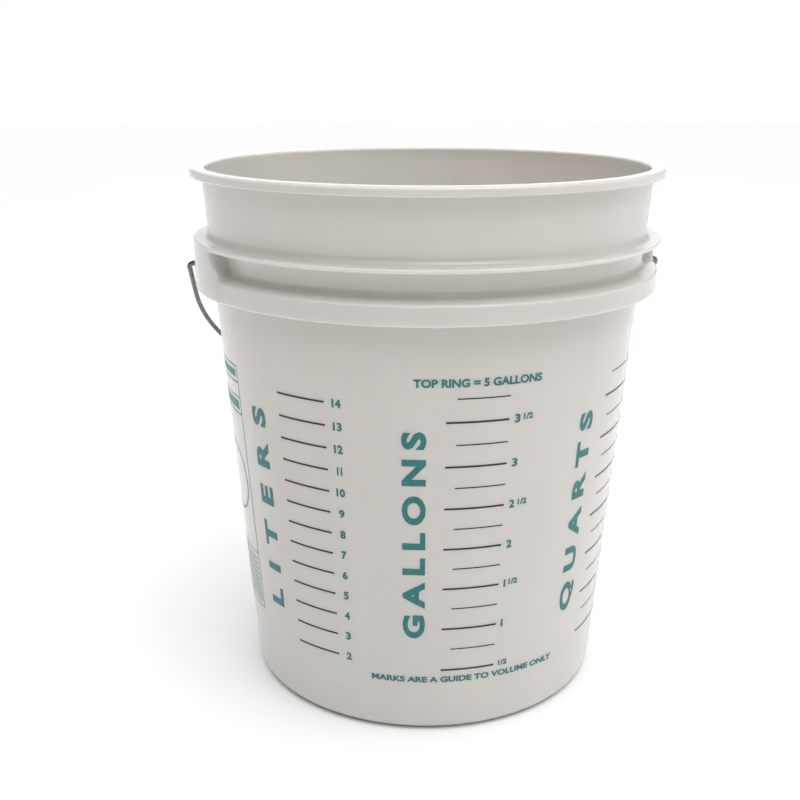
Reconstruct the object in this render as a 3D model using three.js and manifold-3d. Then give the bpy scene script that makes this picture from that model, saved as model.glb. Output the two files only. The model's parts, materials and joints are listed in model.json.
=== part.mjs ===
// A 5 gallon plastic pail: one moulded body, a wire bail and the grip that turns on it.
// Millimetres, +Z up. The origin is the centre of the underside. The bail turns about a line along X.
import * as THREE from "three";
import { mergeVertices } from "three/addons/utils/BufferGeometryUtils.js";
import Module from "manifold-3d";

const wasm = await Module();
wasm.setup();

// Wall: one straight taper from the base to the rim. BASE_RADIUS is the outer radius at z = 0.
const HEIGHT = 369;
const BASE_RADIUS = 127.8;
const TAPER = 0.0705;
const WALL = 2.3;
const CORNER = 9;

// Floor: a flat middle pad and a flat foot, with a shallow recess between them.
const FLOOR = 2.8;
const PAD_RADIUS = 34;
const FOOT_INNER = 100;
const RECESS = 0.8;
const RECESS_SLOPE = 2;

// Rim: a lip that turns down outside the wall.
const RIM_RADIUS = 161;
const RIM_DROP = 6;
const RIM_THICK = 2.6;
const RIM_ROUND = 2.5;
const RIM_INNER_ROUND = 1.8;

// Upper ring: a thin flange with a hollow fillet above it.
const RING_RADIUS = 160.9;
const RING_TOP = 322.9;
const RING_THICK = 2.6;
const RING_FILLET = 5.5;

// Skirt: a shoulder and a short outer wall, open underneath.
const SKIRT_RADIUS = 160;
const SKIRT_TOP = 301.9;
const SKIRT_BOTTOM = 289.4;
const SKIRT_THICK = 2.4;
const SHOULDER_TOP = 306.5;
const SHOULDER_UNDER = 299;
const SHOULDER_BEND = 3;
const SHOULDER_DIP = 1.6;
const SKIRT_EDGE = 1;

// Ears: a hollow block at each end of the bail's axis, between the ring and the skirt's lower edge.
// An ear runs a long way to one side of its hole and ends just past it on the other. Half a turn about
// Z puts one ear on the other.
const EAR_RADIUS = 160.9;
const EAR_LONG_TOP = 69.5;
const EAR_LONG_WAIST = 80;
const EAR_LONG_BOTTOM = 81.5;
const EAR_SHORT = 11;
const EAR_THICK = 2.6;
const EAR_START = 100;
const EAR_END = 170;
const EAR_OVERLAP = 1;
const POCKET_CLEAR = 0.23;
const HOLE_RADIUS = 2.5;

// Bail: a round wire. Its reach is measured from the axis, and its half span from the middle plane.
const AXIS_HEIGHT = 302;
const WIRE_RADIUS = 1.88;
const HEAD_RADIUS = 4;
const HEAD_THICK = 2;
const HEAD_OUTER = 156.5;
const HALF_SPAN = 166.4;
const ELBOW = 6;
const LEG = 42.4;
const BOW = 156.8;
const HALF_STRAIGHT = 46;

// Grip: a barrel with round shoulders on the straight middle of the wire.
const GRIP_LENGTH = 88;
const GRIP_RADIUS = 12;
const GRIP_END_RADIUS = 10;
const GRIP_BORE = 2.3;
const GRIP_NECK_RADIUS = 11.5;
const GRIP_ROUND = 3;
const REST_GAP = 0.5;

// How finely each round stretch is divided.
const AROUND = 72;
const WIRE_SIDES = 10;
const HOLE_SIDES = 16;
const GRIP_SIDES = 32;
const CORNER_STEPS = 6;
const INNER_CORNER_STEPS = 5;
const FILLET_STEPS = 4;
const RIM_INNER_STEPS = 3;
const ELBOW_STEPS = 5;
const BOW_STEPS = 16;
const GRIP_STEPS = 3;
const MERGE_DISTANCE = 1e-4;

const NATURAL_PLASTIC = { color: 0xe8e5df, roughness: 0.38, metalness: 0 };
const ZINC_WIRE = { color: 0x8d9094, roughness: 0.32, metalness: 1 };
const GRIP_PLASTIC = { color: 0xe9e7e0, roughness: 0.5, metalness: 0 };

const QUARTER = Math.PI / 2;
const REACH = LEG + BOW;

// The bail rests where the grip meets the sloping back wall: its angle from straight down.
const SLOPE = Math.atan(TAPER);
const LEAN = BASE_RADIUS + TAPER * AXIS_HEIGHT + (GRIP_RADIUS + REST_GAP) / Math.cos(SLOPE);
const HANG = Math.asin((LEAN * Math.cos(SLOPE)) / REACH) - SLOPE;

const outer = (z) => BASE_RADIUS + TAPER * z;
const inner = (z) => outer(z) - WALL;

// Points on an arc from one angle to another, both included.
function arc(x, y, radius, from, to, steps) {
  const points = [];
  for (let i = 0; i <= steps; i++) {
    const angle = from + ((to - from) * i) / steps;
    points.push(new THREE.Vector2(x + radius * Math.cos(angle), y + radius * Math.sin(angle)));
  }
  return points;
}

const corners = (...pairs) => pairs.map(([x, y]) => new THREE.Vector2(x, y));

// Turns a radius-height profile about the Z axis.
function turned(profile, sides) {
  return new THREE.LatheGeometry(profile, sides).rotateX(QUARTER);
}

function toSolid(geometry) {
  const bare = geometry.clone();
  bare.deleteAttribute("normal");
  bare.deleteAttribute("uv");
  const merged = mergeVertices(bare, MERGE_DISTANCE);
  return new wasm.Manifold(
    new wasm.Mesh({
      numProp: 3,
      vertProperties: merged.attributes.position.array,
      triVerts: new Uint32Array(merged.index.array),
    }),
  );
}

function toGeometry(solid) {
  const { vertProperties, triVerts } = solid.getMesh();
  const geometry = new THREE.BufferGeometry();
  geometry.setAttribute("position", new THREE.BufferAttribute(vertProperties, 3));
  geometry.setIndex(new THREE.BufferAttribute(triVerts, 1));
  geometry.computeVertexNormals();
  return geometry;
}

function namedMesh(name, geometry, finish) {
  const mesh = new THREE.Mesh(geometry, new THREE.MeshStandardMaterial(finish));
  mesh.name = name;
  return mesh;
}

// The body's section, from the middle of the underside out, up, over the rim and down the inside.
function bodyProfile() {
  const ringUnder = RING_TOP - RING_THICK;
  const rimUnder = HEIGHT - RIM_THICK;
  const innerCorner = CORNER - WALL;
  const underside = corners(
    [0, 0],
    [PAD_RADIUS, 0],
    [PAD_RADIUS + RECESS_SLOPE, RECESS],
    [FOOT_INNER - RECESS_SLOPE, RECESS],
    [FOOT_INNER, 0],
  );
  const skirt = corners(
    [outer(SHOULDER_UNDER), SHOULDER_UNDER],
    [SKIRT_RADIUS - SKIRT_THICK, SHOULDER_UNDER],
    [SKIRT_RADIUS - SKIRT_THICK, SKIRT_BOTTOM],
    [SKIRT_RADIUS, SKIRT_BOTTOM],
    [SKIRT_RADIUS, SKIRT_TOP - SKIRT_EDGE],
    [SKIRT_RADIUS - SKIRT_EDGE, SKIRT_TOP],
    [outer(SHOULDER_TOP) + SHOULDER_BEND, SHOULDER_TOP - SHOULDER_DIP],
    [outer(SHOULDER_TOP + SKIRT_EDGE), SHOULDER_TOP + SKIRT_EDGE],
  );
  const ring = [
    ...corners([outer(ringUnder), ringUnder], [RING_RADIUS, ringUnder], [RING_RADIUS, RING_TOP]),
    ...arc(
      outer(RING_TOP) + RING_FILLET,
      RING_TOP + RING_FILLET,
      RING_FILLET,
      -QUARTER,
      -2 * QUARTER,
      FILLET_STEPS,
    ),
  ];
  const rim = [
    ...corners(
      [outer(rimUnder), rimUnder],
      [RIM_RADIUS - RIM_THICK, rimUnder],
      [RIM_RADIUS - RIM_THICK, HEIGHT - RIM_DROP],
      [RIM_RADIUS, HEIGHT - RIM_DROP],
    ),
    ...arc(RIM_RADIUS - RIM_ROUND, HEIGHT - RIM_ROUND, RIM_ROUND, 0, QUARTER, FILLET_STEPS),
    ...arc(
      inner(HEIGHT) + RIM_INNER_ROUND,
      HEIGHT - RIM_INNER_ROUND,
      RIM_INNER_ROUND,
      QUARTER,
      2 * QUARTER,
      RIM_INNER_STEPS,
    ),
  ];
  const insideCorner = arc(
    inner(CORNER) - innerCorner,
    FLOOR + innerCorner,
    innerCorner,
    0,
    -QUARTER,
    INNER_CORNER_STEPS,
  );
  return [
    ...underside,
    ...arc(outer(CORNER) - CORNER, CORNER, CORNER, -QUARTER, 0, CORNER_STEPS),
    ...skirt,
    ...ring,
    ...rim,
    ...insideCorner,
    ...corners([0, FLOOR]),
  ];
}

// A prism along +X or -X whose outline is the ear's shape, drawn in by the given amount.
function earPrism(inset, top, bottom, side) {
  const short = EAR_SHORT - inset;
  const outline = [
    [EAR_LONG_TOP - inset, top],
    [EAR_LONG_WAIST - inset, SKIRT_TOP],
    [EAR_LONG_BOTTOM - inset, bottom],
    [-short, bottom],
    [-short, top],
  ];
  const shape = new THREE.Shape(corners(...outline.map(([reach, z]) => [side * reach, z])));
  const depth = EAR_END - EAR_START;
  const prism = new THREE.ExtrudeGeometry(shape, { depth, bevelEnabled: false });
  prism.translate(0, 0, side > 0 ? EAR_START : -EAR_END);
  const toYZX = new THREE.Matrix4().makeBasis(
    new THREE.Vector3(0, 1, 0),
    new THREE.Vector3(0, 0, 1),
    new THREE.Vector3(1, 0, 0),
  );
  return toSolid(prism.applyMatrix4(toYZX));
}

// A band around the pail between the wall and a radius, which the ears are cut from.
function band(radius, top, bottom, clear) {
  const section = corners(
    [outer(bottom) + clear, bottom],
    [radius, bottom],
    [radius, top],
    [outer(top) + clear, top],
    [outer(bottom) + clear, bottom],
  );
  return toSolid(turned(section, AROUND));
}

function pailBody() {
  const top = RING_TOP - RING_THICK;
  const roof = top - EAR_THICK;
  const below = SKIRT_BOTTOM - EAR_OVERLAP;
  const block = band(EAR_RADIUS, top + EAR_OVERLAP, SKIRT_BOTTOM, -EAR_OVERLAP);
  const pocket = band(EAR_RADIUS - EAR_THICK, roof, below, POCKET_CLEAR);
  const hole = toSolid(
    new THREE.CylinderGeometry(HOLE_RADIUS, HOLE_RADIUS, 2 * EAR_END, HOLE_SIDES)
      .rotateZ(QUARTER)
      .translate(0, 0, AXIS_HEIGHT),
  );
  let body = toSolid(turned(bodyProfile(), AROUND));
  for (const side of [-1, 1]) {
    const ear = block.intersect(earPrism(0, top + EAR_OVERLAP, SKIRT_BOTTOM, side));
    const hollow = pocket.intersect(earPrism(EAR_THICK, roof, below, side));
    const drill = hole.intersect(earPrism(0, top, below, side));
    const face = drill.subtract(band(outer(AXIS_HEIGHT) + WALL, top, below, -EAR_START));
    body = body.add(ear).subtract(hollow).subtract(face);
  }
  return toGeometry(body);
}

// The bail's centre line in its own plane: x across, y the distance from the axis.
function bailLine() {
  const bow = arc(0, 0, 1, 0, QUARTER, BOW_STEPS).map(
    (p) => new THREE.Vector2(HALF_STRAIGHT + (HALF_SPAN - HALF_STRAIGHT) * p.x, LEG + BOW * p.y),
  );
  const half = [
    ...corners([HEAD_OUTER - HEAD_THICK / 2, 0]),
    ...arc(HALF_SPAN - ELBOW, ELBOW, ELBOW, -QUARTER, 0, ELBOW_STEPS),
    ...bow,
  ];
  return [...half, ...half.map((p) => new THREE.Vector2(-p.x, p.y)).reverse()];
}

// A curve through given stations, one for each step of an extrusion, so that bends get more steps.
class Stations extends THREE.Curve {
  constructor(points) {
    super();
    this.points = points;
  }
  getUtoTmapping(u) {
    return u;
  }
  getPoint(t) {
    const last = this.points.length - 1;
    const place = Math.min(Math.max(t, 0), 1) * last;
    const index = Math.min(Math.floor(place), last - 1);
    return this.points[index].clone().lerp(this.points[index + 1], place - index);
  }
}

function bailWire() {
  const stations = bailLine().map((p) => new THREE.Vector3(p.x, 0, -p.y));
  const section = new THREE.Shape(arc(0, 0, WIRE_RADIUS, 0, 4 * QUARTER, WIRE_SIDES).slice(1));
  const wire = new THREE.ExtrudeGeometry(section, {
    steps: stations.length - 1,
    extrudePath: new Stations(stations),
  });
  let solid = toSolid(wire);
  for (const side of [-1, 1]) {
    const head = new THREE.CylinderGeometry(HEAD_RADIUS, HEAD_RADIUS, HEAD_THICK, HOLE_SIDES)
      .rotateZ(QUARTER)
      .translate(side * (HEAD_OUTER - HEAD_THICK / 2), 0, 0);
    solid = solid.add(toSolid(head));
  }
  return toGeometry(solid);
}

function bailGrip() {
  const half = GRIP_LENGTH / 2;
  const shoulder = [
    ...arc(GRIP_END_RADIUS - GRIP_ROUND, GRIP_ROUND - half, GRIP_ROUND, -QUARTER, 0, GRIP_STEPS),
    ...corners([GRIP_NECK_RADIUS, -half / 2]),
  ];
  const profile = [
    ...corners([GRIP_BORE, -half]),
    ...shoulder,
    ...corners([GRIP_RADIUS, 0]),
    ...shoulder.map((p) => new THREE.Vector2(p.x, -p.y)).reverse(),
    ...corners([GRIP_BORE, half], [GRIP_BORE, -half]),
  ];
  return turned(profile, GRIP_SIDES).rotateY(QUARTER);
}

const bail = new THREE.Group();
bail.position.z = AXIS_HEIGHT;
bail.rotation.x = HANG;
bail.add(namedMesh("bail_wire", bailWire(), ZINC_WIRE));

const grip = namedMesh("bail_grip", bailGrip(), GRIP_PLASTIC);
grip.position.z = -REACH;
bail.add(grip);

const pail = new THREE.Group();
pail.add(namedMesh("pail_body", pailBody(), NATURAL_PLASTIC));
pail.add(bail);

export default pail;
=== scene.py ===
"""The plastic fermenting bucket: body, wire bail, grip, printed scales, floor, light and camera."""
import json
import math

import bmesh
import bpy
from mathutils import Matrix, Vector


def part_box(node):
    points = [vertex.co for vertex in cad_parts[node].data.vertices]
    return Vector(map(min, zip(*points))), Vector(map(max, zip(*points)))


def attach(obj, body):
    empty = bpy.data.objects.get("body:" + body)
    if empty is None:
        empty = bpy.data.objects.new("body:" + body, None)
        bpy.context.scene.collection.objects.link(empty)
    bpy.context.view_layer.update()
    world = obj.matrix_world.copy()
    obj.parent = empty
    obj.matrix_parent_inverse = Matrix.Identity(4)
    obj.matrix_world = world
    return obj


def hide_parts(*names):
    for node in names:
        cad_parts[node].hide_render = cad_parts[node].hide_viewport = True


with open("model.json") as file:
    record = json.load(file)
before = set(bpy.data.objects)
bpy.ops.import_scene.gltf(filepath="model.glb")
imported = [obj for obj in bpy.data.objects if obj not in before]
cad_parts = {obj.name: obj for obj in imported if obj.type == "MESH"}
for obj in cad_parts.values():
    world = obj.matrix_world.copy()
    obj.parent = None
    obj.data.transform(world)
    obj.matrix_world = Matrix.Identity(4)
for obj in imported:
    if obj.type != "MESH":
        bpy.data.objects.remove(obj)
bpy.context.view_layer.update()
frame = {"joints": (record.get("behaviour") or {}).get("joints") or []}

# ---------------------------------------------------------------- sizes, in metres

MM = 0.001
_, BODY_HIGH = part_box("pail_body")
HEIGHT = BODY_HIGH.z
RIM_RADIUS = BODY_HIGH.x
JOINTS = {joint["name"]: joint for joint in frame["joints"]}
AXIS = Vector(JOINTS["bail_swing"]["pos_m"])
GRIP_CENTRE = Vector(JOINTS["grip_spin"]["pos_m"])
REACH = (GRIP_CENTRE - AXIS).length
DOWN_THE_BAIL = (GRIP_CENTRE - AXIS).normalized()
_, WIRE_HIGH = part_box("bail_wire")
GRIP_LOW, GRIP_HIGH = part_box("bail_grip")

BASE_RADIUS = 127.8 * MM
TAPER = 0.0705
WALL = 2.3 * MM
CORNER = 9 * MM
FLOOR = 2.8 * MM
PAD_RADIUS = 34 * MM
FOOT_INNER = 100 * MM
RECESS = 0.8 * MM
RECESS_SLOPE = 2 * MM

RIM_BOTTOM = HEIGHT - 6 * MM
RIM_THICK = 2.6 * MM
RING_RADIUS = 160.9 * MM
RING_TOP = 322.9 * MM
RING_THICK = 2.6 * MM
RING_FILLET = 5.5 * MM
SKIRT_RADIUS = 160 * MM
SKIRT_TOP = 301.9 * MM
SKIRT_BOTTOM = 289.4 * MM
SKIRT_THICK = 2.4 * MM
CHANNEL_ROOF = 299 * MM
SHOULDER = 305.4 * MM

EAR_RADIUS = 160.9 * MM
EAR_THICK = 2.6 * MM
EAR_LONG = ((SKIRT_BOTTOM, 81.5 * MM), (SKIRT_TOP, 80 * MM), (RING_TOP - RING_THICK, 69.5 * MM))
EAR_SHORT = 11 * MM
EAR_BLEND = math.radians(1.5)
EAR_BEND = 3 * MM
EAR_TOP_BEND = 5 * MM
POCKET_SLACK = 0.1 * MM
HOLE_RADIUS = 2.5 * MM

# How far each rounding reaches from its corner.
EDGE = 0.7 * MM
SKIRT_ROUND = 1.3 * MM
SHOULDER_ROUND = 3 * MM
RING_ROOT = 1.0 * MM
RING_LOWER_EDGE = 0.8 * MM
RING_UPPER_EDGE = 0.9 * MM
RIM_LOWER_ROUND = 1.1 * MM
RIM_ROUND = 2.5 * MM
RIM_INNER_ROUND = 1.8 * MM
ARC_STEPS = 5

WIRE_RADIUS = 1.88 * MM
HEAD_RADIUS = 4 * MM
HEAD_OUTER = 156.5 * MM
HEAD_THICK = 2 * MM
ELBOW = 6 * MM
LEG = 42.4 * MM
HALF_STRAIGHT = 46 * MM

QUARTER = math.pi / 2


def outer(z):
    """Radius of the wall's outside at a height."""
    return BASE_RADIUS + TAPER * z


def inner(z):
    return outer(z) - WALL


# ---------------------------------------------------------------- mesh helpers


def new_object(name, bm):
    bmesh.ops.recalc_face_normals(bm, faces=bm.faces)
    mesh = bpy.data.meshes.new(name)
    bm.to_mesh(mesh)
    bm.free()
    obj = bpy.data.objects.new(name, mesh)
    bpy.context.scene.collection.objects.link(obj)
    return obj


def smooth(obj):
    for face in obj.data.polygons:
        face.use_smooth = True
    weighted = obj.modifiers.new("weighted", "WEIGHTED_NORMAL")
    weighted.keep_sharp = True
    return obj


def rounded(corners, arc_steps):
    """A line through corners (x, y, cut, steps): steps divide the straight that leads to the corner."""
    line = []
    for i, (x, y, cut, steps) in enumerate(corners):
        here = Vector((x, y))
        if cut:
            back = (Vector(corners[i - 1][:2]) - here).normalized()
            on = (Vector(corners[i + 1][:2]) - here).normalized()
            start, end = here + back * cut, here + on * cut
            weight = math.sin(back.angle(on) / 2)
            arc = [conic(start, here, end, weight, k / arc_steps) for k in range(arc_steps + 1)]
        else:
            arc = [here]
        if line:
            last = line[-1]
            line += [last.lerp(arc[0], k / steps) for k in range(1, steps)]
        line += arc
    return line


def conic(a, b, c, weight, t):
    """A point on the circular arc from a to c that is tangent to ab and bc."""
    wa, wb, wc = (1 - t) ** 2, 2 * t * (1 - t) * weight, t * t
    return (a * wa + b * wb + c * wc) / (wa + wb + wc)


def smoothstep(value):
    value = min(max(value, 0), 1)
    return value * value * (3 - 2 * value)


# ---------------------------------------------------------------- the moulded body


def body_sections():
    """The body's section twice, point for point: plain round the side, and through the middle of an ear."""
    under = RING_TOP - RING_THICK
    rim_under = HEIGHT - RIM_THICK
    pocket = EAR_RADIUS - EAR_THICK
    roof = under - EAR_THICK
    foot = [
        (0, 0, 0, 1),
        (PAD_RADIUS, 0, EDGE, 3),
        (PAD_RADIUS + RECESS_SLOPE, RECESS, EDGE, 1),
        (FOOT_INNER - RECESS_SLOPE, RECESS, EDGE, 4),
        (FOOT_INNER, 0, EDGE, 1),
        (BASE_RADIUS, 0, CORNER, 2),
    ]
    plain = [
        (outer(CHANNEL_ROOF), CHANNEL_ROOF, EDGE, 14),
        (SKIRT_RADIUS - SKIRT_THICK, CHANNEL_ROOF, EDGE, 2),
        (SKIRT_RADIUS - SKIRT_THICK, SKIRT_BOTTOM, EDGE, 3),
        (SKIRT_RADIUS, SKIRT_BOTTOM, EDGE, 1),
        (SKIRT_RADIUS, SKIRT_TOP, SKIRT_ROUND, 3),
        (outer(SHOULDER), SHOULDER, SHOULDER_ROUND, 2),
        (outer(under), under, RING_ROOT, 2),
        (RING_RADIUS, under, RING_LOWER_EDGE, 2),
    ]
    ear = [
        (outer(roof), roof, EDGE, 14),
        (pocket, roof, EDGE, 2),
        (pocket, SKIRT_BOTTOM, EDGE, 3),
        (EAR_RADIUS, SKIRT_BOTTOM, EDGE, 1),
        (EAR_RADIUS, SKIRT_TOP, SKIRT_ROUND, 3),
        (EAR_RADIUS, SHOULDER + EAR_BEND, SHOULDER_ROUND, 2),
        (EAR_RADIUS, under - EAR_TOP_BEND, RING_ROOT, 2),
        (EAR_RADIUS, under, RING_LOWER_EDGE, 2),
    ]
    top = [
        (RING_RADIUS, RING_TOP, RING_UPPER_EDGE, 1),
        (outer(RING_TOP), RING_TOP, RING_FILLET, 1),
        (outer(rim_under), rim_under, EDGE, 5),
        (RIM_RADIUS - RIM_THICK, rim_under, EDGE, 1),
        (RIM_RADIUS - RIM_THICK, RIM_BOTTOM, EDGE, 1),
        (RIM_RADIUS, RIM_BOTTOM, RIM_LOWER_ROUND, 1),
        (RIM_RADIUS, HEIGHT, RIM_ROUND, 1),
        (inner(HEIGHT), HEIGHT, RIM_INNER_ROUND, 1),
        (inner(FLOOR), FLOOR, CORNER - WALL, 20),
        (0, FLOOR, 0, 6),
    ]
    return rounded(foot + plain + top, ARC_STEPS), rounded(foot + ear + top, ARC_STEPS)


def ear_reach(z, turn):
    """The angle that an ear spans at a height, on its long side (a positive turn) or its short side."""
    (low, wide), (waist, middle), (high, narrow) = EAR_LONG
    if turn < 0:
        reach = EAR_SHORT
    elif z <= waist:
        reach = wide + (middle - wide) * max(z - low, 0) / (waist - low)
    else:
        reach = middle + (narrow - middle) * min((z - waist) / (high - waist), 1)
    return math.asin(reach / EAR_RADIUS)


def turn_from_ear(angle):
    """The signed angle from the nearer ear's hole."""
    return (angle + QUARTER) % math.pi - QUARTER


def body_angles():
    """Angles round the body, closer together at the ears' edges."""
    fine, step = 0.3, 2
    edges = ((-6.9, -1.5), (24, 33))
    turns = [low + fine * k for low, high in edges for k in range(round((high - low) / fine) + 1)]
    coarse = range(-90, 90, step)
    for low, high in edges:
        coarse = [turn for turn in coarse if not low - 1 < turn < high + 1]
    half_circle = sorted([*turns, *coarse])
    return [math.radians(turn + centre) for centre in (0, 180) for turn in half_circle]


def make_body():
    plain, ear = body_sections()
    pocket_radius = EAR_RADIUS - EAR_THICK + POCKET_SLACK
    wall_cut = EAR_THICK / EAR_RADIUS
    bm = bmesh.new()
    bottom = bm.verts.new((0, 0, plain[0].y))
    top = bm.verts.new((0, 0, plain[-1].y))
    rings = []
    for angle in body_angles():
        turn = turn_from_ear(angle)
        ring = []
        for a, b in zip(plain[1:-1], ear[1:-1]):
            reach = ear_reach(b.y, turn)
            if b.x < pocket_radius:
                reach -= wall_cut
            share = smoothstep((reach - abs(turn)) / EAR_BLEND + 0.5)
            r, z = a.lerp(b, share)
            ring.append(bm.verts.new((r * math.cos(angle), r * math.sin(angle), z)))
        rings.append(ring)
    for ring, after in zip(rings, rings[1:] + rings[:1]):
        bm.faces.new((bottom, after[0], ring[0]))
        bm.faces.new((top, ring[-1], after[-1]))
        for k in range(len(ring) - 1):
            bm.faces.new((ring[k], after[k], after[k + 1], ring[k + 1]))
    body = new_object("pail_shell", bm)
    drill_ears(body)
    return smooth(body)


def drill_ears(body):
    """Cuts the wire's hole through the face of each ear."""
    for side in (-1, 1):
        bm = bmesh.new()
        middle = side * (EAR_RADIUS - EAR_THICK / 2)
        place = Matrix.Translation((middle, 0, AXIS.z)) @ Matrix.Rotation(QUARTER, 4, "Y")
        bmesh.ops.create_cone(
            bm,
            cap_ends=True,
            segments=40,
            radius1=HOLE_RADIUS,
            radius2=HOLE_RADIUS,
            depth=2.5 * EAR_THICK,
            matrix=place,
        )
        drill = new_object("drill", bm)
        cut = body.modifiers.new("hole", "BOOLEAN")
        cut.object = drill
        cut.solver = "EXACT"
        bpy.context.view_layer.update()
        shaped = bpy.data.meshes.new_from_object(body.evaluated_get(bpy.context.evaluated_depsgraph_get()))
        body.modifiers.clear()
        body.data = shaped
        bpy.data.objects.remove(drill)


# ---------------------------------------------------------------- the bail and its grip


def bail_stations():
    """The wire's centre line as (across, down, radius), from one head to the other."""
    half_span = WIRE_HIGH.x - WIRE_RADIUS
    bow = REACH - LEG
    end = HEAD_OUTER - HEAD_THICK
    elbow_steps, leg_steps, bow_steps = 10, 6, 48
    half = [
        (end, 0, 0.6 * HEAD_RADIUS),
        (end + 0.3 * MM, 0, 0.9 * HEAD_RADIUS),
        (end + 0.8 * MM, 0, HEAD_RADIUS),
        (HEAD_OUTER - 0.5 * MM, 0, HEAD_RADIUS),
        (HEAD_OUTER - 0.1 * MM, 0, 0.85 * HEAD_RADIUS),
        (HEAD_OUTER, 0, WIRE_RADIUS),
    ]
    for k in range(elbow_steps + 1):
        t = QUARTER * k / elbow_steps
        half.append((half_span - ELBOW * (1 - math.sin(t)), ELBOW * (1 - math.cos(t)), WIRE_RADIUS))
    half += [(half_span, ELBOW + (LEG - ELBOW) * k / leg_steps, WIRE_RADIUS) for k in range(1, leg_steps)]
    for k in range(bow_steps + 1):
        t = QUARTER * k / bow_steps
        across = HALF_STRAIGHT + (half_span - HALF_STRAIGHT) * math.cos(t)
        half.append((across, LEG + bow * math.sin(t), WIRE_RADIUS))
    return half + [(-x, down, radius) for x, down, radius in reversed(half)]


def make_wire():
    sides = 20
    stations = bail_stations()
    centres = [AXIS + Vector((x, 0, 0)) + DOWN_THE_BAIL * down for x, down, radius in stations]
    normal = Vector((1, 0, 0)).cross(DOWN_THE_BAIL)
    bm = bmesh.new()
    rings = []
    for i, (centre, station) in enumerate(zip(centres, stations)):
        along = (centres[min(i + 1, len(centres) - 1)] - centres[max(i - 1, 0)]).normalized()
        side = along.cross(normal)
        ring = []
        for k in range(sides):
            turn = 2 * math.pi * k / sides
            away = normal * math.cos(turn) + side * math.sin(turn)
            ring.append(bm.verts.new(centre + away * station[2]))
        rings.append(ring)
    bm.faces.new(rings[0])
    bm.faces.new(rings[-1])
    for ring, after in zip(rings, rings[1:]):
        for k in range(sides):
            n = (k + 1) % sides
            bm.faces.new((ring[k], ring[n], after[n], after[k]))
    return smooth(new_object("bail_rod", bm))


def make_grip():
    """A barrel with a collar at each end, shallow finger rings and a parting line along both sides."""
    half = (GRIP_HIGH.x - GRIP_LOW.x) / 2
    radius = 11.7 * MM
    bore = 2.3 * MM
    sides = 96
    collar, collar_radius, finger_rings, groove = 5 * MM, 10 * MM, 6, 0.45 * MM
    profile = [(bore, -half + 0.5 * MM), (bore + 0.5 * MM, -half)]
    profile += [(collar_radius - 1.5 * MM, -half), (collar_radius - 0.4 * MM, -half + 0.5 * MM)]
    profile += [(collar_radius, -half + 1.6 * MM), (collar_radius - 0.1 * MM, -half + collar)]
    end = list(profile)
    steps = 72
    for k in range(steps + 1):
        along = -half + collar + 1 * MM + (2 * half - 2 * collar - 2 * MM) * k / steps
        barrel = radius - 1.3 * MM * (along / half) ** 2
        wave = 0.5 - 0.5 * math.cos(2 * math.pi * finger_rings * k / steps)
        profile.append((barrel - groove * (1 - wave) ** 6, along))
    profile += [(r, -along) for r, along in reversed(end)]
    bm = bmesh.new()
    rings = []
    for k in range(sides):
        turn = 2 * math.pi * k / sides
        seam = 0.15 * MM if k % (sides // 2) == 0 else 0
        ring = []
        for r, along in profile:
            wide = r + (seam if r > bore + 1 * MM else 0)
            point = Vector((along, wide * math.cos(turn), wide * math.sin(turn)))
            ring.append(bm.verts.new(GRIP_CENTRE + point))
        rings.append(ring)
    count = len(profile)
    for ring, after in zip(rings, rings[1:] + rings[:1]):
        for k in range(count):
            n = (k + 1) % count
            bm.faces.new((ring[k], ring[n], after[n], after[k]))
    return smooth(new_object("grip_barrel", bm))


# ---------------------------------------------------------------- printing on the wall
# Printed shapes are drawn flat as (angle in degrees from the front, height, 0 to 1 through the ink),
# then wrapped on the wall. TURN is how far the print is turned from the bail's own front.

TURN = -5.1
INK_SINK = 0.25 * MM
INK_PROUD = 0.05 * MM
CUT_EVERY = 1.0

TEAL, DARK = "scale_ink_teal", "scale_ink_dark"


def wrap(name, bm):
    """Cuts a flat print into narrow strips and bends it on the wall."""
    xs = [v.co.x for v in bm.verts]
    first, last = math.ceil(min(xs) / CUT_EVERY), math.floor(max(xs) / CUT_EVERY)
    for k in range(first, last + 1):
        bmesh.ops.bisect_plane(
            bm,
            geom=bm.verts[:] + bm.edges[:] + bm.faces[:],
            plane_co=(k * CUT_EVERY, 0, 0),
            plane_no=(1, 0, 0),
        )
    for vert in bm.verts:
        degrees, z, through = vert.co
        angle = math.radians(degrees + TURN)
        r = outer(z) - INK_SINK + through * (INK_SINK + INK_PROUD)
        vert.co = (r * math.sin(angle), -r * math.cos(angle), z)
    return new_object(name, bm)


def add_bar(bm, left, right, low, high):
    made = bmesh.ops.create_cube(bm, size=1)["verts"]
    for vert in made:
        vert.co.x = left if vert.co.x < 0 else right
        vert.co.y = low if vert.co.y < 0 else high
        vert.co.z = 0 if vert.co.z < 0 else 1


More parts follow.
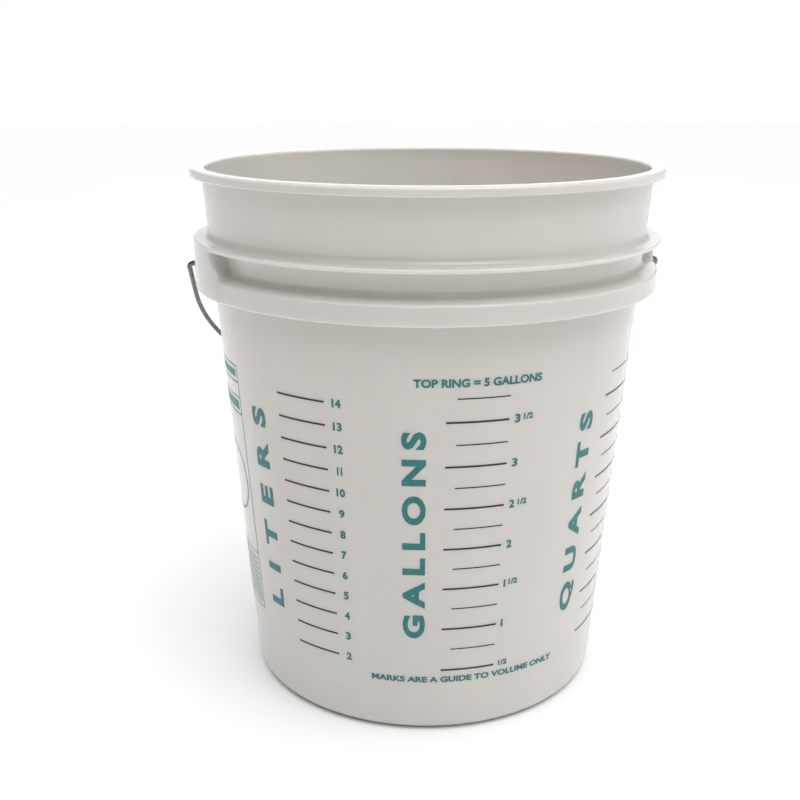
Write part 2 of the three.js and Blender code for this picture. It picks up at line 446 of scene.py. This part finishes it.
def add_text(bm, text, left, right, low, high, upright=True, spacing=1.0, bold=0.02):
    """Lettering that fills a box. With upright False it reads from the bottom to the top."""
    curve = bpy.data.curves.new("letters", "FONT")
    curve.body = text
    curve.extrude = 0.5
    curve.offset = bold
    curve.space_character = spacing
    curve.resolution_u = 4
    letters = bpy.data.objects.new("letters", curve)
    bpy.context.scene.collection.objects.link(letters)
    bpy.context.view_layer.update()
    mesh = bpy.data.meshes.new_from_object(letters.evaluated_get(bpy.context.evaluated_depsgraph_get()))
    bpy.data.objects.remove(letters)
    xs, ys = [v.co.x for v in mesh.vertices], [v.co.y for v in mesh.vertices]
    x0, width, y0, tall = min(xs), max(xs) - min(xs), min(ys), max(ys) - min(ys)
    for vert in mesh.vertices:
        u, v = (vert.co.x - x0) / width, (vert.co.y - y0) / tall
        through = 1 if vert.co.z > 0 else 0
        if upright:
            vert.co = (left + u * (right - left), low + v * (high - low), through)
        else:
            vert.co = (right - v * (right - left), low + u * (high - low), through)
    bm.from_mesh(mesh)
    bpy.data.meshes.remove(mesh)
    bmesh.ops.remove_doubles(bm, verts=bm.verts, dist=1e-6)


def degrees_of(length, z):
    """The angle that a length along the wall spans at a height."""
    return math.degrees(length / outer(z))


def add_number(bm, text, at, z, height, centred=False):
    """A number with digits of their usual width. A one is a third as wide as the others."""
    digits = sum(ONE_WIDE if digit == "1" else DIGIT_WIDE for digit in text)
    width = degrees_of(height * (digits + DIGIT_GAP * (len(text) - 1)), z)
    left = at - width / 2 if centred else at
    add_text(bm, text, left, left + width, z - height / 2, z + height / 2, bold=BOLD)
    return left + width


def scale_height(first, last, share, bulge):
    """A mark's height: even steps, pushed up a little below the middle, as they are printed."""
    return first + (last - first) * (share + bulge * share * (1 - share) * (1 - 1.4 * share))


def quarter_gallon_heights():
    last = 13
    return [scale_height(QUARTER_FIRST, QUARTER_LAST, k / last, QUARTER_BULGE) for k in range(last + 1)]


def quarter_marks(heights, heavy, light):
    """Long heavy marks with a short light one between each two."""
    return [(*light, z, LIGHT) if k % 2 else (*heavy, z, HEAVY) for k, z in enumerate(heights)]


def print_ticks(name, marks):
    """Marks are (left, right, height, thickness)."""
    bm = bmesh.new()
    for left, right, z, thick in marks:
        add_bar(bm, left, right, z - thick / 2, z + thick / 2)
    return wrap(name, bm)


HEAVY, LIGHT = 1.3 * MM, 0.8 * MM
ONE_WIDE, DIGIT_WIDE, DIGIT_GAP = 0.24, 0.66, 0.16
BOLD, WORD_BOLD = 0.042, 0.045
WORD_LOW, WORD_HIGH = 74 * MM, 221 * MM
NUMBER = 5.8 * MM
FRACTION, FRACTION_WIDE, FRACTION_RAISE, FRACTION_GAP = 0.72, 1.6, 0.12, 0.9

# Heights of each scale's first and last mark.
LITER_FIRST, LITER_LAST, LITER_BULGE = 54 * MM, 235.9 * MM, 0.06
QUARTER_FIRST, QUARTER_LAST, QUARTER_BULGE = 49.2 * MM, 242.1 * MM, 0.11

# Where things are round the wall, in degrees: (left, right), or the place of a column of numbers.
LITER_MARKS, LITER_NUMBERS, LITER_WORD = (-40.6, -25.6), -22.2, (-53.0, -46.6)
GALLON_HEAVY, GALLON_LIGHT, GALLON_NUMBERS, GALLON_WORD = (5.15, 21.2), (7.8, 21.2), 22.7, (-5.8, 0.45)
QUART_HEAVY, QUART_LIGHT, QUART_NUMBERS, QUART_WORD = (55.7, 71.5), (58.1, 71.5), 75, (44.4, 50.9)
TOP_LINE, TOP_LINE_LOW, TOP_LINE_HIGH = (-2.8, 29.5), 249.4 * MM, 254.9 * MM
LOW_LINE, LOW_LINE_LOW, LOW_LINE_HIGH = (-15.3, 43.0), 39.6 * MM, 44.2 * MM


def print_liters():
    lowest, highest = 2, 14
    count = highest - lowest
    heights = [scale_height(LITER_FIRST, LITER_LAST, k / count, LITER_BULGE) for k in range(count + 1)]
    ticks = print_ticks("liter_ticks", [(*LITER_MARKS, z, HEAVY) for z in heights])
    bm = bmesh.new()
    for k, z in enumerate(heights):
        add_number(bm, str(lowest + k), LITER_NUMBERS, z, NUMBER, centred=True)
    add_text(bm, "LITERS", *LITER_WORD, WORD_LOW, WORD_HIGH, upright=False, spacing=1.9, bold=WORD_BOLD)
    return wrap("liter_print", bm), ticks


def add_fraction(bm, left, z):
    """A raised half: 1, a stroke and 2."""
    size = FRACTION * NUMBER
    middle = z + FRACTION_RAISE * NUMBER
    right = left + degrees_of(FRACTION_WIDE * size, z)
    add_text(bm, "1/2", left, right, middle - size / 2, middle + size / 2, bold=BOLD)


def print_gallons():
    heights = quarter_gallon_heights()
    ticks = print_ticks("gallon_ticks", quarter_marks(heights, GALLON_HEAVY, GALLON_LIGHT))
    bm = bmesh.new()
    for k, z in enumerate(heights[::2]):
        halves = k + 1
        left = GALLON_NUMBERS
        if halves >= 2:
            left = add_number(bm, str(halves // 2), left, z, NUMBER) + FRACTION_GAP
        if halves % 2:
            add_fraction(bm, left, z)
    add_text(bm, "GALLONS", *GALLON_WORD, WORD_LOW, WORD_HIGH, upright=False, spacing=1.5, bold=WORD_BOLD)
    add_text(bm, "TOP RING = 5 GALLONS", *TOP_LINE, TOP_LINE_LOW, TOP_LINE_HIGH, bold=BOLD)
    add_text(bm, "MARKS ARE A GUIDE TO VOLUME ONLY", *LOW_LINE, LOW_LINE_LOW, LOW_LINE_HIGH, bold=BOLD)
    return wrap("gallon_print", bm), ticks


def print_quarts():
    heights = quarter_gallon_heights()
    ticks = print_ticks("quart_ticks", quarter_marks(heights, QUART_HEAVY, QUART_LIGHT))
    bm = bmesh.new()
    for k, z in enumerate(heights):
        add_number(bm, str(k + 2), QUART_NUMBERS, z, NUMBER, centred=True)
    add_text(bm, "QUARTS", *QUART_WORD, WORD_LOW, WORD_HIGH, upright=False, spacing=1.6, bold=WORD_BOLD)
    return wrap("quart_print", bm), ticks


def add_frame(bm, left, right, low, high, line):
    wide = degrees_of(line, (low + high) / 2)
    add_bar(bm, left, left + wide, low, high)
    add_bar(bm, right - wide, right, low, high)
    add_bar(bm, left + wide, right - wide, low, low + line)
    add_bar(bm, left + wide, right - wide, high - line, high)


def add_ring(bm, centre, z, radius, line):
    """A flat ring drawn as a closed band of quads with a front, a back and two edges."""
    steps = 72
    stretch = degrees_of(1, z)
    loops = []
    for k in range(steps):
        turn = 2 * math.pi * k / steps
        loop = []
        for size, through in ((radius, 0), (radius, 1), (radius - line, 1), (radius - line, 0)):
            x = centre + size * math.cos(turn) * stretch
            loop.append(bm.verts.new((x, z + size * math.sin(turn), through)))
        loops.append(loop)
    for loop, after in zip(loops, loops[1:] + loops[:1]):
        for k in range(4):
            n = (k + 1) % 4
            bm.faces.new((loop[k], loop[n], after[n], after[k]))


def print_panel():
    """A framed panel to write on, with no lettering: a frame, cross lines, short bars, rules and a ring."""
    left, right, low, high = -86.0, -60.2, 60 * MM, 243 * MM
    line = 0.9 * MM
    bm = bmesh.new()
    add_frame(bm, left, right, low, high, line)
    inset = degrees_of(line, high)
    for z in (231 * MM, 220 * MM, 208 * MM, 104 * MM):
        add_bar(bm, left + inset, right - inset, z - line / 2, z + line / 2)
    bar_left, bar_right = left + 2.2, right - 1.6
    add_bar(bm, bar_left, bar_right, 234.4 * MM, 239.4 * MM)
    add_bar(bm, bar_left, bar_right, 210.8 * MM, 217.4 * MM)
    add_ring(bm, (left + right) / 2, 156 * MM, 26 * MM, 1.6 * MM)
    rules = 9
    for k in range(rules):
        z = 65 * MM + k * 4.1 * MM
        add_bar(bm, bar_left, bar_right, z, z + 1.3 * MM)
    return wrap("panel_print", bm)


# ---------------------------------------------------------------- materials


class Nodes:
    """Short calls for building one material's node tree."""

    def __init__(self, name):
        self.material = bpy.data.materials.new(name)
        self.material.use_nodes = True
        self.tree = self.material.node_tree
        self.shader = self.tree.nodes["Principled BSDF"]
        self.place = self.add("ShaderNodeTexCoord").outputs["Object"]

    def add(self, kind, **inputs):
        node = self.tree.nodes.new(kind)
        for key, value in inputs.items():
            self.feed(node, key, value)
        return node

    def feed(self, node, key, value):
        socket = node.inputs[key]
        if isinstance(value, bpy.types.NodeSocket):
            self.tree.links.new(value, socket)
        else:
            socket.default_value = value

    def noise(self, scale, detail=4.0, stretch=(1, 1, 1)):
        mapping = self.add("ShaderNodeMapping", Vector=self.place, Scale=stretch)
        node = self.add("ShaderNodeTexNoise", Vector=mapping.outputs["Vector"], Scale=scale, Detail=detail)
        return node.outputs["Fac"]

    def ramp(self, value, *stops):
        """Stops are (position, grey or colour)."""
        node = self.add("ShaderNodeValToRGB", Fac=value)
        elements = node.color_ramp.elements
        while len(elements) < len(stops):
            elements.new(0.5)
        for element, (position, shade) in zip(elements, stops):
            colour = shade if isinstance(shade, tuple) else (shade, shade, shade)
            element.position = position
            element.color = (*colour, 1)
        return node.outputs["Color"]

    def mix(self, share, a, b):
        """From a to b, each a colour or a socket, by a socket's share."""
        node = self.add("ShaderNodeMix")
        node.data_type = "RGBA"
        self.tree.links.new(share, node.inputs[0])
        for socket, value in ((node.inputs[6], a), (node.inputs[7], b)):
            if isinstance(value, tuple):
                socket.default_value = (*value, 1)
            else:
                self.tree.links.new(value, socket)
        return node.outputs[2]

    def bump(self, *layers):
        """Layers are (height socket, strength, distance), one on another."""
        normal = None
        for height, strength, distance in layers:
            node = self.add("ShaderNodeBump", Height=height, Strength=strength, Distance=distance)
            if normal:
                self.feed(node, "Normal", normal)
            normal = node.outputs["Normal"]
        self.feed(self.shader, "Normal", normal)

    def set(self, **inputs):
        for key, value in inputs.items():
            self.feed(self.shader, key.replace("_", " "), value)


def height_mask(nodes, low, high):
    """1 at and below the first height, falling to 0 at the second."""
    split = nodes.add("ShaderNodeSeparateXYZ", Vector=nodes.place)
    node = nodes.add("ShaderNodeMapRange", Value=split.outputs["Z"])
    for key, value in (("From Min", low), ("From Max", high), ("To Min", 1.0), ("To Max", 0.0)):
        node.inputs[key].default_value = value
    return node.outputs["Result"]


def natural_plastic():
    """Milky polyethylene: cloudy colour, flow lines down the wall, orange peel, fine rubs and a worn foot."""
    m = Nodes("natural_plastic")
    cloud = m.noise(6, 4)
    flow = m.noise(34, 3, stretch=(1, 1, 0.05))
    peel = m.noise(420, 2)
    swell = m.noise(11, 2, stretch=(1, 1, 0.35))
    rubs = m.ramp(m.noise(150, 7, stretch=(1, 1, 7)), (0.62, 0.0), (0.72, 1.0))
    foot = height_mask(m, 3 * MM, 12 * MM)
    base = m.ramp(cloud, (0.3, (0.580, 0.562, 0.532)), (0.7, (0.618, 0.600, 0.574)))
    base = m.mix(m.ramp(flow, (0.35, 0.0), (0.75, 0.45)), base, (0.638, 0.622, 0.597))
    worn = m.mix(foot, (0.0, 0.0, 0.0), m.ramp(rubs, (0.0, 0.08), (1.0, 0.5)))
    base = m.mix(worn, base, (0.55, 0.53, 0.49))
    rough = m.ramp(cloud, (0.25, 0.15), (0.75, 0.22))
    rough = m.mix(m.ramp(rubs, (0.0, 0.0), (1.0, 0.35)), rough, (0.45, 0.45, 0.45))
    m.set(Base_Color=base, Roughness=rough, IOR=1.53)
    m.set(Subsurface_Weight=0.75, Subsurface_Radius=(0.0075, 0.0070, 0.0065), Subsurface_Scale=1.0)
    m.bump((swell, 0.35, 0.0012), (flow, 0.2, 0.0003), (peel, 0.08, 0.0001))
    return m.material


def zinc_wire():
    """Drawn wire with a bright zinc coat: fine draw marks, dull patches and a few dark rubs."""
    m = Nodes("zinc_wire")
    patch = m.noise(160, 5)
    draw = m.noise(900, 3, stretch=(0.15, 1, 1))
    rub = m.ramp(m.noise(70, 6), (0.62, 0.0), (0.70, 1.0))
    base = m.ramp(patch, (0.3, (0.11, 0.11, 0.11)), (0.7, (0.22, 0.22, 0.215)))
    base = m.mix(m.ramp(rub, (0.0, 0.0), (1.0, 0.6)), base, (0.05, 0.048, 0.045))
    rough = m.ramp(patch, (0.3, 0.14), (0.7, 0.26))
    m.set(Base_Color=base, Roughness=rough, Metallic=1.0)
    m.bump((draw, 0.25, 0.0001), (patch, 0.15, 0.0002))
    return m.material


def grip_plastic():
    """Opaque white moulding, satin, with a light skin of handling marks."""
    m = Nodes("grip_plastic")
    cloud = m.noise(55, 5)
    grain = m.noise(1300, 3)
    marks = m.ramp(m.noise(180, 8, stretch=(5, 1, 1)), (0.60, 0.0), (0.70, 1.0))
    base = m.ramp(cloud, (0.3, (0.72, 0.71, 0.68)), (0.7, (0.79, 0.78, 0.76)))
    base = m.mix(m.ramp(marks, (0.0, 0.0), (1.0, 0.35)), base, (0.52, 0.50, 0.47))
    rough = m.ramp(cloud, (0.3, 0.38), (0.7, 0.52))
    m.set(Base_Color=base, Roughness=rough, IOR=1.49)
    m.bump((grain, 0.2, 0.0001), (marks, 0.1, 0.0001))
    return m.material


def ink(name, dark, light, worn):
    """Screen ink: a little uneven, with pinholes where it has worn thin."""
    m = Nodes(name)
    mottle = m.noise(240, 5)
    pinholes = m.ramp(m.noise(1500, 2), (0.69, 0.0), (0.76, 1.0))
    base = m.ramp(mottle, (0.3, dark), (0.7, light))
    base = m.mix(m.ramp(pinholes, (0.0, 0.0), (1.0, 0.6)), base, worn)
    m.set(Base_Color=base, Roughness=m.ramp(mottle, (0.3, 0.34), (0.7, 0.46)), IOR=1.48)
    m.bump((mottle, 0.1, 0.0001))
    return m.material


def pale_floor():
    m = Nodes("pale_floor")
    tone = m.ramp(m.noise(1.5, 3), (0.3, 0.93), (0.7, 0.95))
    m.set(Base_Color=tone, Roughness=0.9)
    return m.material


# ---------------------------------------------------------------- stage, light and camera


def make_floor():
    bm = bmesh.new()
    bmesh.ops.create_grid(bm, x_segments=1, y_segments=1, size=8)
    floor = new_object("studio_floor", bm)
    floor.data.materials.append(pale_floor())


def add_light(name, place, target, width, tall, power):
    data = bpy.data.lights.new(name, "AREA")
    data.shape = "RECTANGLE"
    data.size, data.size_y = width, tall
    data.energy = power
    lamp = bpy.data.objects.new(name, data)
    bpy.context.scene.collection.objects.link(lamp)
    lamp.location = place
    lamp.rotation_euler = (Vector(target) - Vector(place)).to_track_quat("-Z", "Y").to_euler()


# Soft boxes: name, place, width, height and power.
SOFT_BOXES = (
    ("right_box", (1.7, 0.3, 0.7), 1.4, 1.4, 1.5),
    ("back_box", (0.1, 1.7, 0.9), 1.8, 1.4, 5),
    ("high_box", (0.4, -0.9, 2.1), 1.5, 1.0, 12),
)
SUN_STRENGTH, SUN_WIDTH, SUN_TILT = 1.95, math.radians(80), math.radians(12)
SKY_DIM, SKY_BRIGHT = 0.06, 0.62
DIM_SIDE = math.radians(35)
DIM_FROM, DIM_TO = -0.9, 0.2


def make_lights():
    middle = (0, 0, HEIGHT / 2)
    for name, place, width, tall, power in SOFT_BOXES:
        add_light(name, place, middle, width, tall, power)
    add_sun()
    make_sky()


def add_sun():
    """A very soft light from nearly straight above, which keeps the floor white as far as it goes."""
    data = bpy.data.lights.new("overhead", "SUN")
    data.energy = SUN_STRENGTH
    data.angle = SUN_WIDTH
    lamp = bpy.data.objects.new("overhead", data)
    bpy.context.scene.collection.objects.link(lamp)
    lamp.rotation_euler = (SUN_TILT, 0, 0)


def make_sky():
    """A white studio, dimmer in front and to the left. The camera sees it all white."""
    world = bpy.data.worlds.new("studio")
    world.use_nodes = True
    tree = world.node_tree
    sky = tree.nodes["Background"]
    place = tree.nodes.new("ShaderNodeTexCoord")
    turn = tree.nodes.new("ShaderNodeMapping")
    turn.inputs["Rotation"].default_value = (0, 0, DIM_SIDE)
    split = tree.nodes.new("ShaderNodeSeparateXYZ")
    dim = tree.nodes.new("ShaderNodeMapRange")
    path = tree.nodes.new("ShaderNodeLightPath")
    white = tree.nodes.new("ShaderNodeMath")
    white.operation = "MAXIMUM"
    tree.links.new(place.outputs["Generated"], turn.inputs["Vector"])
    tree.links.new(turn.outputs["Vector"], split.inputs["Vector"])
    tree.links.new(split.outputs["Y"], dim.inputs["Value"])
    limits = {"From Min": DIM_FROM, "From Max": DIM_TO, "To Min": SKY_DIM, "To Max": SKY_BRIGHT}
    for key, value in limits.items():
        dim.inputs[key].default_value = value
    tree.links.new(dim.outputs["Result"], white.inputs[0])
    tree.links.new(path.outputs["Is Camera Ray"], white.inputs[1])
    tree.links.new(white.outputs["Value"], sky.inputs["Strength"])
    sky.inputs["Color"].default_value = (1, 1, 1, 1)
    bpy.context.scene.world = world


CAMERA_DISTANCE = 0.7809
CAMERA_HEIGHT = 0.4317
CAMERA_PITCH = math.radians(18.74)
CAMERA_YAW = math.radians(-1.35)
CAMERA_LENS = 49.65
CAMERA_RAISE = 0.051


def make_camera():
    """The view in the picture: in front of the print and a little above the rim."""
    side = math.radians(TURN)
    yaw = CAMERA_YAW - side
    data = bpy.data.cameras.new("camera")
    data.lens = CAMERA_LENS
    data.sensor_width = 36
    data.shift_y = CAMERA_RAISE
    camera = bpy.data.objects.new("camera", data)
    bpy.context.scene.collection.objects.link(camera)
    camera.location = (CAMERA_DISTANCE * math.sin(side), -CAMERA_DISTANCE * math.cos(side), CAMERA_HEIGHT)
    camera.rotation_euler = (QUARTER - CAMERA_PITCH, 0, -yaw)
    bpy.context.scene.camera = camera


# ---------------------------------------------------------------- putting it together


def finish_piece(obj, material, body, slot, *nodes):
    obj.data.materials.clear()
    obj.data.materials.append(material)
    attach(obj, body)
    if nodes:
        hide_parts(*nodes)


def main():
    make_camera()
    make_lights()
    make_floor()
    finish_piece(make_body(), natural_plastic(), "pail", "natural_plastic", "pail_body")
    finish_piece(make_wire(), zinc_wire(), "bail", "zinc_wire", "bail_wire")
    finish_piece(make_grip(), grip_plastic(), "grip", "grip_plastic", "bail_grip")
    teal = ink(TEAL, (0.008, 0.135, 0.140), (0.018, 0.195, 0.195), (0.40, 0.46, 0.44))
    dark = ink(DARK, (0.010, 0.008, 0.007), (0.024, 0.019, 0.016), (0.22, 0.20, 0.18))
    for printed in (print_liters, print_gallons, print_quarts):
        lettering, ticks = printed()
        finish_piece(lettering, teal, "pail", TEAL)
        finish_piece(ticks, dark, "pail", DARK)
    finish_piece(print_panel(), teal, "pail", TEAL)
    bpy.context.scene.view_settings.view_transform = "Standard"


main()
